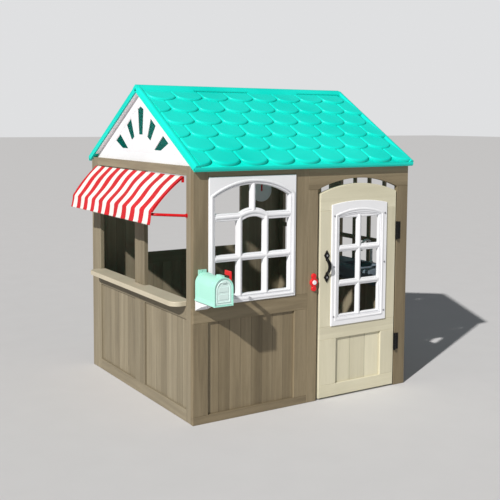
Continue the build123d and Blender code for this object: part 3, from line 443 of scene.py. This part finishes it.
def loft(mesh, rings, closed=False):
    """Solid skinned over rings of points: capped at both ends, or closed into a loop."""
    rings = [[mesh.verts.new(point) for point in ring] for ring in rings]
    pairs = list(zip(rings, rings[1:]))
    if closed:
        pairs.append((rings[-1], rings[0]))
    for one, other in pairs:
        for index in range(len(one)):
            after = (index + 1) % len(one)
            mesh.faces.new((one[index], one[after], other[after], other[index]))
    if not closed:
        mesh.faces.new(rings[0][::-1])
        mesh.faces.new(rings[-1])


def trim_piece(name, mesh, material, body, replaced=(), angle=40.0):
    """Piece with its faces turned outwards and smooth shading."""
    bmesh.ops.recalc_face_normals(mesh, faces=mesh.faces)
    smooth(new_piece(name, mesh, material, body, replaced), angle)


# ------------------------------------------------------------------------------ roof
SLOPE = 0.600
FALL = math.atan(SLOPE)
RIDGE = 1.410
ROOF_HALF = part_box("roof_front")[1][0] - HX
EAVES = 0.566
EAVE_Z = RIDGE - SLOPE * EAVES
SLOPE_LENGTH = EAVES / math.cos(FALL)
SLAB = 0.0195
SLOT_LOW = SLOPE_LENGTH - 0.0380
SLOT_HIGH = SLOPE_LENGTH - 0.0322
RAKE_TRIM = 0.024
FRONT_LAPS = ((-0.585, -0.2996), (-0.0054, 0.2864))
BACK_LAPS = ((-0.299, -0.006), (0.287, 0.573))
LAP_REACH = 0.027
LAP_LIP = 0.0105

SHINGLE_COLUMN = 0.138
SHINGLE_ROW = 0.1045
SHINGLE_ROWS = 6
SHINGLE_COLUMNS = range(-5, 6)
SHINGLE_SHIFTS = (-0.010, 0.059)    # along the ridge, in even and odd rows
SHINGLE_LAP = 1.75                  # how far up a shingle reaches, in rows
SHINGLE_END = 0.050                 # depth of the U-shaped end
SHINGLE_THICKNESS = 0.0125
SHINGLE_CROWN = 0.0025
SHINGLE_GAP = 0.0004
SHINGLE_SINK = 0.001                # how far its base is let into the slab
LOWER_ROLL = 0.007
SIDE_ROLL = 0.005
LEAST_SHINGLE = 0.3                 # narrower offcuts at the rake are left out, in half widths


def slope_point(side, u, v, height):
    """Point of a roof half: u along the ridge, v up the slope from the eaves, height off
    the slab's upper face. side is -1 for the front half and 1 for the back."""
    reach = (SLOPE_LENGTH - v) * math.cos(FALL) + height * math.sin(FALL)
    z = RIDGE - (SLOPE_LENGTH - v) * math.sin(FALL) + height * math.cos(FALL)
    return Vector((HX + u, HY + side * reach, z))


def solid_from_outline(mesh, side, outline, rim, low):
    """Closed plate: outline is a loop of (u, v, height) for its upper edge. The upper face
    is drawn in by rim and rounded, and the walls reach down to height low."""
    count = len(outline)
    centre = Vector((sum(point[0] for point in outline), sum(point[1] for point in outline))) / count
    base = [slope_point(side, u, v, low) for u, v, _ in outline]
    rings = [base]
    for drop, inset in ((rim, 0.0), (0.3 * rim, 0.3 * rim), (0.0, rim)):
        ring = []
        for index, (u, v, height) in enumerate(outline):
            before = Vector(outline[index - 1][:2])
            after = Vector(outline[(index + 1) % count][:2])
            tangent = (after - before).normalized()
            inward = Vector((-tangent.y, tangent.x))
            if inward.dot(centre - Vector((u, v))) < 0:
                inward = -inward
            ring.append(slope_point(side, u + inward.x * inset, v + inward.y * inset, height - drop))
        rings.append(ring)
    loft(mesh, rings)


def rounded(depth, radius):
    """Height of a rounded edge, 0 to 1, at a depth in from the edge."""
    share = 1.0 - min(1.0, depth / radius)
    return math.sqrt(1.0 - share * share)


def shingle(mesh, side, centre, row):
    """One U-ended shingle: thick and rolled over at its lower edge, slightly crowned, and
    thin where the next row laps it."""
    half = SHINGLE_COLUMN / 2 - SHINGLE_GAP
    limit = ROOF_HALF - RAKE_TRIM + 0.001
    foot = row * SHINGLE_ROW + 0.003
    top = min(foot + SHINGLE_LAP * SHINGLE_ROW, SLOT_LOW - 0.0005)
    low = max(-1.0, (-limit - centre) / half)
    high = min(1.0, (limit - centre) / half)
    if high - low < LEAST_SHINGLE:
        return
    edge = [0.0, 0.012, 0.04, 0.09]
    inner = [0.18 + 0.64 * step / 8 for step in range(9)]
    shares = edge + inner + [1.0 - share for share in reversed(edge)]
    grid = []
    for share_v in (0.0, 0.006, 0.02, 0.045, 0.1, 0.25, 0.5, 0.75, 1.0):
        line = []
        for share_u in shares:
            s = low + (high - low) * share_u
            curve = foot + SHINGLE_END * (1.0 - math.sqrt(max(0.0, 1.0 - (0.985 * s) ** 2)))
            v = curve + (top - curve) * share_v
            thick = SHINGLE_THICKNESS * (1.0 - 0.88 * share_v)
            crown = SHINGLE_CROWN * (1.0 - s * s) * (1.0 - share_v)
            roll = rounded(v - curve, LOWER_ROLL) * rounded((1.0 - abs(s)) * half, SIDE_ROLL)
            line.append((centre + s * half, v, (thick + crown) * roll))
        grid.append(line)
    skin(mesh, side, grid)


def skin(mesh, side, grid):
    """Closed tile: quads over a grid of (u, v, height) points, walls down, and a flat base."""
    tops = [[mesh.verts.new(slope_point(side, *point)) for point in line] for line in grid]
    for below, above in zip(tops, tops[1:]):
        for index in range(len(below) - 1):
            mesh.faces.new((below[index], below[index + 1], above[index + 1], above[index]))

    def around(rows):
        return (rows[0] + [line[-1] for line in rows[1:]] + rows[-1][-2::-1]
                + [line[0] for line in rows[-2:0:-1]])

    rim = around(tops)
    base = [mesh.verts.new(slope_point(side, *point[:2], -SHINGLE_SINK)) for point in around(grid)]
    for index in range(len(rim)):
        after = (index + 1) % len(rim)
        mesh.faces.new((rim[index], base[index], base[after], rim[after]))
    mesh.faces.new(base[::-1])


def roof_half(name, side, laps, slots, replaced):
    """Slab with rolled rake trims and eaves, rows of shingles, ridge laps, and slots below
    the other half's laps."""
    mesh = bmesh.new()

    def block(u0, u1, v0, v1, h0, h1, rim):
        outline = [(u0, v0, h1), (u1, v0, h1), (u1, v1, h1), (u0, v1, h1)]
        solid_from_outline(mesh, side, outline, rim, h0)

    inner = ROOF_HALF - RAKE_TRIM + 0.002
    under = 0.001 - SLAB
    block(-inner, inner, 0.001, SLOT_LOW, under, 0.0, rim=0.001)
    block(-inner, inner, SLOT_HIGH, SLOPE_LENGTH - 0.0004, under, 0.0, rim=0.001)
    slot_ends = [min(inner, max(-inner, end)) for slot in slots for end in slot]
    edges = [-inner, *slot_ends, inner]
    for u0, u1 in zip(edges[::2], edges[1::2]):
        if u1 - u0 > 0.002:
            block(u0, u1, SLOT_LOW - 0.001, SLOT_HIGH + 0.001, under, 0.0, rim=0.0005)
    for end in (-1, 1):
        u0, u1 = sorted((end * ROOF_HALF, end * (ROOF_HALF - RAKE_TRIM)))
        block(u0, u1, 0.0, SLOPE_LENGTH - 0.003, -SLAB, 0.009, rim=0.007)
    add_eave_lip(mesh, side)
    for row in range(SHINGLE_ROWS):
        for column in SHINGLE_COLUMNS:
            centre = SHINGLE_SHIFTS[row % 2] + column * SHINGLE_COLUMN
            if abs(centre) < ROOF_HALF + SHINGLE_COLUMN / 2 - RAKE_TRIM:
                shingle(mesh, side, centre, row)
    for u0, u1 in laps:
        ridge_lap(mesh, side, u0, u1)
    trim_piece(name, mesh, PLASTICS["teal"], "house", replaced, angle=50.0)


def add_eave_lip(mesh, side):
    """Rolled lip below the slab's lower edge."""
    lip = [(EAVES, EAVE_Z), (EAVES, EAVE_Z - 0.008), (EAVES - 0.003, EAVE_Z - 0.015),
           (EAVES - 0.008, EAVE_Z - 0.018), (EAVES - 0.014, EAVE_Z - 0.010)]
    loft(mesh, [[(HX + u, HY + side * reach, z) for reach, z in lip]
                for u in (-ROOF_HALF, ROOF_HALF)])


def add_gable_flanges():
    """White strips that line the roof's underside, from each gable sheet out to the wall face."""
    inner_u, outer_u = 0.5595, 0.5785
    low_v = SLOPE_LENGTH - 0.500 / math.cos(FALL)
    high_v = SLOPE_LENGTH - 0.016
    top = -SLAB - 0.0008
    for name, end in (("left", -1), ("right", 1)):
        mesh = bmesh.new()
        u0, u1 = sorted((end * outer_u, end * inner_u))
        outline = [(u0, low_v, top), (u1, low_v, top), (u1, high_v, top), (u0, high_v, top)]
        for side in (-1, 1):
            solid_from_outline(mesh, side, outline, rim=0.0008, low=top - 0.003)
        trim_piece("gable_flange_" + name, mesh, PLASTICS["white"], "house")


def ridge_lap(mesh, side, u0, u1):
    """Rounded cap over the ridge, from one half's own slope on to the other's."""
    foot = LAP_REACH * 1.2
    shoulder = LAP_REACH * 0.9
    crown = RIDGE - SLOPE * 0.006 + LAP_LIP
    far = RIDGE - SLOPE * LAP_REACH
    own = [(foot, RIDGE - SLOPE * foot - 0.001),
           (shoulder, RIDGE - SLOPE * shoulder + LAP_LIP * 0.9),
           (0.006, crown), (0.0, RIDGE + LAP_LIP * 0.9)]
    other = [(-0.006, crown), (-LAP_REACH + 0.002, far + LAP_LIP),
             (-LAP_REACH, far + LAP_LIP * 0.5), (-LAP_REACH, far + 0.0015),
             (-0.008, RIDGE - SLOPE * 0.008 + 0.001), (0.0, RIDGE - 0.0006)]
    loft(mesh, [[(HX + u, HY + side * reach, z) for reach, z in own + other]
                for u in (u0 + 0.0005, u1 - 0.0005)])


# ---------------------------------------------------------------------------- awning
ROOF_STEPS = 22
HEM_STEPS = 10
CLOTH_COLUMNS = 96
CLOTH_THICKNESS = 0.0012


def circle_through(a, b, c):
    """Centre and radius of the circle through three points of a plane."""
    ax, ay = a
    bx, by = b
    cx, cy = c
    d = 2 * (ax * (by - cy) + bx * (cy - ay) + cx * (ay - by))
    ux = ((ax * ax + ay * ay) * (by - cy) + (bx * bx + by * by) * (cy - ay)
          + (cx * cx + cy * cy) * (ay - by)) / d
    uy = ((ax * ax + ay * ay) * (cx - bx) + (bx * bx + by * by) * (ax - cx)
          + (cx * cx + cy * cy) * (bx - ax)) / d
    return (ux, uy), math.hypot(ax - ux, ay - uy)


def awning_section():
    """Points of the awning's section as (x, z), from the wall to the hem."""
    centre, radius = circle_through(AWNING_TOP, AWNING_BELLY, AWNING_FOLD)
    start = math.atan2(AWNING_TOP[1] - centre[1], AWNING_TOP[0] - centre[0])
    end = math.atan2(AWNING_FOLD[1] - centre[1], AWNING_FOLD[0] - centre[0])
    turn = math.remainder(end - start, 2 * math.pi)
    points = []
    for step in range(ROOF_STEPS):
        angle = start + turn * step / ROOF_STEPS
        points.append((centre[0] + radius * math.cos(angle), centre[1] + radius * math.sin(angle)))
    fold_x, fold_z = AWNING_FOLD[0] + 0.0012, AWNING_FOLD[1] - 0.0008
    for step in range(HEM_STEPS + 1):
        share = step / HEM_STEPS
        points.append((fold_x + (AWNING_HEM[0] - fold_x) * share,
                       fold_z + (AWNING_HEM[1] - fold_z) * share))
    return points


def cloth_lift(row, share):
    """How far the cloth stands off its section, at a row and a share from -1 to 1 across."""
    on_roof = min(1.0, row / ROOF_STEPS)
    bay = math.sin(math.pi * on_roof)
    slack = -0.005 * bay * (1 - share ** 6)
    ripple = 0.0012 * bay * math.sin(29 * share + 4 * on_roof)
    sag = math.sin(2 * math.pi * on_roof + 0.8 * math.sin(5 * share + 1.0))
    sag *= 0.0034 * bay * (1 - share ** 8)
    pucker = math.exp(-((row - ROOF_STEPS) / 1.4) ** 2) * (0.0012 + 0.0009 * math.sin(83 * share))
    depth = max(0.0, (row - ROOF_STEPS) / HEM_STEPS)
    wave = depth * (0.0024 * math.sin(21 * share + 0.6) + 0.0014 * math.sin(47 * share))
    turned_hem = 0.0012 if row > ROOF_STEPS + HEM_STEPS - 2 else 0.0
    return slack + ripple + sag + pucker + wave + turned_hem


def add_awning():
    """Striped cloth: taut over the bows, slightly slack between them, with a loose hem."""
    section = awning_section()
    mesh = bmesh.new()
    grid = []
    for row, (x, z) in enumerate(section):
        reach = min(1.0, (AWNING_TOP[0] - x) / (AWNING_TOP[0] - AWNING_FOLD[0]))
        half = AWNING_WALL_HALF + (AWNING_FRONT_HALF - AWNING_WALL_HALF) * reach
        before = section[max(0, row - 1)]
        after = section[min(len(section) - 1, row + 1)]
        tangent = Vector((after[0] - before[0], after[1] - before[1])).normalized()
        out = Vector((tangent.y, -tangent.x))
        if out.x > 0:
            out = -out
        line = []
        for column in range(CLOTH_COLUMNS + 1):
            share = 2 * column / CLOTH_COLUMNS - 1
            lift = cloth_lift(row, share)
            line.append(mesh.verts.new((HX + x + out.x * lift, HY + AWNING_MIDDLE + half * share,
                                        z + out.y * lift)))
        grid.append(line)
    for one, other in zip(grid, grid[1:]):
        for column in range(CLOTH_COLUMNS):
            mesh.faces.new((one[column], one[column + 1], other[column + 1], other[column]))
    bmesh.ops.recalc_face_normals(mesh, faces=mesh.faces)
    length = sum(math.dist(a, b) for a, b in zip(section, section[1:]))
    piece = new_piece("awning_cloth", mesh, striped_cloth("awning_cloth"), "house",
                      ("awning_fabric",))
    for face in piece.data.polygons:
        face.use_smooth = True
    solid = piece.modifiers.new("cloth", "SOLIDIFY")
    solid.thickness = CLOTH_THICKNESS
    solid.offset = 0.0
    return piece, length


# ----------------------------------------------------------------- mouldings and trim
def sweep(mesh, path, face, profile, closed=False):
    """Solid swept along a path of (x, z) points upright at y = face. The profile's points
    are (to the left of the path, out of the wall)."""
    rings = []
    last = len(path) - 1
    for index, point in enumerate(path):
        here = Vector(point)
        after = Vector(path[(index + 1) % len(path)])
        before = Vector(path[index - 1])
        ahead = ((after - here) if closed or index < last else (here - before)).normalized()
        behind = (here - before).normalized() if closed or index > 0 else ahead
        along = (ahead + behind).normalized()
        left = Vector((-along.y, along.x)) / max(0.5, along.dot(ahead))
        rings.append([(here.x + left.x * a, face - b, here.y + left.y * a) for a, b in profile])
    loft(mesh, rings, closed)


def half_round(width, height):
    """Profile of a bead that stands on a face and is let into it a little."""
    sunk = 0.001
    half = 0.5 * width
    angles = [math.pi * step / 8 for step in range(9)]
    arc = [(-half * math.cos(angle), height * math.sin(angle)) for angle in angles]
    return [(-half, -sunk), *arc, (half, -sunk)]


def arch_points(x0, x1, spring, apex, steps=20):
    """Points over an arch, from its right foot to its left foot."""
    centre, radius = circle_through((x0, spring), ((x0 + x1) / 2, apex), (x1, spring))
    start = math.atan2(spring - centre[1], x1 - centre[0])
    end = math.atan2(spring - centre[1], x0 - centre[0])
    return [(centre[0] + radius * math.cos(start + (end - start) * k / steps),
             centre[1] + radius * math.sin(start + (end - start) * k / steps))
            for k in range(steps + 1)]


def arched_loop(x0, x1, low, spring, apex):
    """Closed path round an arched opening."""
    return [(x0, low), (x1, low)] + arch_points(x0, x1, spring, apex)


RIB_BEAD = half_round(0.015, 0.0045)
FIELD_BEAD = half_round(0.006, 0.003)
FIELD_RECESS = 0.005        # how far the ribs lie behind the frame's face


def mould_rims(mesh, centre, rim, field, outer, outer_bead):
    """A thin bead round the sunk field, and a wider one on the frame's face. field and outer
    are (half width, foot, spring, apex) of their arched loops."""
    for loop, face, bead in ((field, rim + FIELD_RECESS, FIELD_BEAD), (outer, rim, outer_bead)):
        half, foot, spring, apex = loop
        path = arched_loop(centre - half, centre + half, foot, spring, apex)
        sweep(mesh, path, face, bead, closed=True)


def add_front_window_beads():
    """Half-round beads on the front window's ribs, and mouldings round its arch."""
    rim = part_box("front_window_frame")[0][1]
    centre = middle("front_window_frame", 0)
    side = 0.1848
    post = 0.06575
    sill = 0.526
    crossbar = 0.6875
    arch_foot = 0.859
    crown_foot = 0.884
    crown_top = 0.997
    over = arch_points(centre - post, centre + post, arch_foot + 0.002, 0.878)
    ribs = [[(centre + x, sill), (centre + x, 0.868)] for x in (-post, post)]
    ribs += [[(centre, crown_foot), (centre, crown_top)]]
    ribs += [[(centre + x0, crossbar), (centre + x1, crossbar)]
             for x0, x1 in ((-side, -post), (-post, post), (post, side))]
    ribs += [[(centre + side, arch_foot), *over, (centre - side, arch_foot)]]
    mesh = bmesh.new()
    for rib in ribs:
        sweep(mesh, rib, rim + FIELD_RECESS, RIB_BEAD)
    mould_rims(mesh, centre, rim, field=(side + 0.0055, 0.5262, 0.945, 0.9995),
               outer=(side + 0.020, 0.5115, 0.949, 1.0105), outer_bead=half_round(0.011, 0.0032))
    trim_piece("front_window_beads", mesh, PLASTICS["white"], "house")


def add_door_window_beads():
    """Half-round beads on the door window's ribs, and mouldings round its arch."""
    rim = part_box("door_window_frame")[0][1]
    centre = HX + 0.284
    side = 0.114
    mesh = bmesh.new()
    ribs = [[(centre, 0.378), (centre, 0.836)]]
    ribs += [[(centre - side, z), (centre + side, z)] for z in (0.5265, 0.6855)]
    for rib in ribs:
        sweep(mesh, rib, rim + FIELD_RECESS, RIB_BEAD)
    mould_rims(mesh, centre, rim, field=(side + 0.005, 0.379, 0.831, 0.8435),
               outer=(side + 0.022, 0.362, 0.838, 0.862), outer_bead=half_round(0.010, 0.003))
    trim_piece("door_window_beads", mesh, PLASTICS["white"], "door")


def add_mailbox_trim():
    """Rolled hood rim, two bands of which one leaves a gap for the flag's arm, and flared feet."""
    low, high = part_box("mailbox_body")
    centre = middle("mailbox_body", 0)
    half = (high[0] - low[0]) / 2
    spring = low[2] + 0.070
    corners = [(centre - half, low[2] + 0.001), (centre + half, low[2] + 0.001)]
    over = arch_points(centre - half, centre + half, spring, spring + half, 24)
    outline = corners + over
    notched = [*over[2:], *corners, (centre + half, spring - 0.014)]
    mesh = bmesh.new()

    def band(path, front, length, proud):
        step = 0.3 * proud
        profile = [(0.0006, 0.0), (-proud + step, 0.0), (-proud, -step), (-proud, -length + step),
                   (-proud + step, -length), (0.0006, -length)]
        sweep(mesh, path, front, profile, closed=path is outline)

    band(outline, low[1] - 0.0012, length=0.010, proud=0.0032)
    band(notched, low[1] + 0.030, length=0.004, proud=0.0012)
    band(outline, high[1] - 0.030, length=0.009, proud=0.0022)
    section = [(-0.001, 0.0005), (0.0055, 0.0005), (0.0055, 0.004), (0.002, 0.009), (0.0, 0.018),
               (-0.001, 0.018)]
    for side in (-1, 1):
        foot = [(centre + side * (half + out), low[2] + up) for out, up in section]
        loft(mesh, [[(x, y, z) for x, z in foot] for y in (low[1] + 0.004, high[1] - 0.012)])
    trim_piece("mailbox_trim", mesh, PLASTICS["mint"], "house")


def add_mailbox_door_bead():
    """Raised moulding on the mailbox's little door."""
    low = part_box("mailbox_body")[0]
    centre = middle("mailbox_body", 0)
    mesh = bmesh.new()
    path = arched_loop(centre - 0.030, centre + 0.030, 0.545, 0.598, 0.627)
    sweep(mesh, path, low[1] + 0.003, half_round(0.004, 0.0026), closed=True)
    trim_piece("mailbox_door_bead", mesh, PLASTICS["pale_mint"], "mailbox_lid")


# ------------------------------------------------------------------- lights and floor
def add_floor():
    """Pale plain floor, far wider than the view."""
    mesh = bmesh.new()
    bmesh.ops.create_grid(mesh, x_segments=2, y_segments=2, size=60.0)
    data = bpy.data.meshes.new("floor")
    mesh.to_mesh(data)
    mesh.free()
    floor = bpy.data.objects.new("floor", data)
    floor.location.z = -0.0005
    bpy.context.scene.collection.objects.link(floor)
    tree = Tree("floor_paper")
    speck = tree.noise(tree.place, scale=6.0, detail=3.0)
    paper = tree.ramp(speck, (0.2, (0.60, 0.60, 0.61)), (0.8, (0.62, 0.62, 0.63)))
    data.materials.append(tree.finish(paper, 0.9))


def add_world():
    """Dim bluish sky for the light, and a pale backdrop where the camera sees it."""
    world = bpy.data.worlds.new("studio")
    world.use_nodes = True
    tree = world.node_tree
    sky = tree.nodes["Background"]
    sky.inputs["Color"].default_value = (0.90, 0.95, 1.0, 1.0)
    sky.inputs["Strength"].default_value = 0.16
    paper = tree.nodes.new("ShaderNodeBackground")
    paper.inputs["Color"].default_value = (0.74, 0.745, 0.755, 1.0)
    seen = tree.nodes.new("ShaderNodeLightPath")
    either = tree.nodes.new("ShaderNodeMixShader")
    tree.links.new(seen.outputs["Is Camera Ray"], either.inputs["Fac"])
    tree.links.new(sky.outputs["Background"], either.inputs[1])
    tree.links.new(paper.outputs["Background"], either.inputs[2])
    tree.links.new(either.outputs["Shader"], tree.nodes["World Output"].inputs["Surface"])
    bpy.context.scene.world = world


def add_light(light, place, target):
    """Stand a light at a place, turned towards a target."""
    holder = bpy.data.objects.new(light.name, light)
    holder.location = place
    aim = Vector(target) - Vector(place)
    holder.rotation_euler = aim.to_track_quat("-Z", "Y").to_euler()
    bpy.context.scene.collection.objects.link(holder)


def add_lamps():
    """A sun high on the left of the camera, and a weak wide fill from the front."""
    sun = bpy.data.lights.new("sun", "SUN")
    sun.energy = 4.3
    sun.angle = 0.02
    sun.color = (1.0, 0.97, 0.93)
    add_light(sun, place=(-3.1, -1.68, 3.02), target=(0, 0, 0.5))
    fill = bpy.data.lights.new("fill", "AREA")
    fill.energy = 12
    fill.size = 3.5
    add_light(fill, place=(1.6, -4.4, 2.0), target=(0, 0, 0.6))


# ------------------------------------------------------------------------------ build
add_camera()
add_floor()
add_world()
add_lamps()
bpy.context.scene.view_settings.view_transform = "Standard"
dress_boards()
dress(PLASTICS["white"], "front_window_frame", "door_window_frame", "gable_insert_left",
      "gable_insert_right", "mailbox_bracket", "doorbell_button", "sink_tap", "clock_face")
dress(PLASTICS["cream"], "serving_counter")
dress(PLASTICS["pale_mint"], "mailbox_door")
dress(PLASTICS["mint"], "mailbox_body")
dress(PLASTICS["red"], "doorbell_plate", "mailbox_flag", "clock_hour_hand", "clock_minute_hand")
dress(PLASTICS["grey"], "kitchen_counter", "sink_basin")
dress(METALS["black"], "hinge_jamb_leaves", "hinge_door_leaves", "hinge_pins", "door_handle")
dress(METALS["steel"], "door_screws", "doorbell_spring")
dress(METALS["rod"], "awning_frame", "awning_ribs")

roof_half("roof_front_shingles", -1, FRONT_LAPS, BACK_LAPS, ("roof_front",))
roof_half("roof_back_shingles", 1, BACK_LAPS, FRONT_LAPS, ("roof_back",))
add_gable_flanges()
add_front_window_beads()
add_door_window_beads()
add_mailbox_trim()
add_mailbox_door_bead()
awning, awning_length = add_awning()
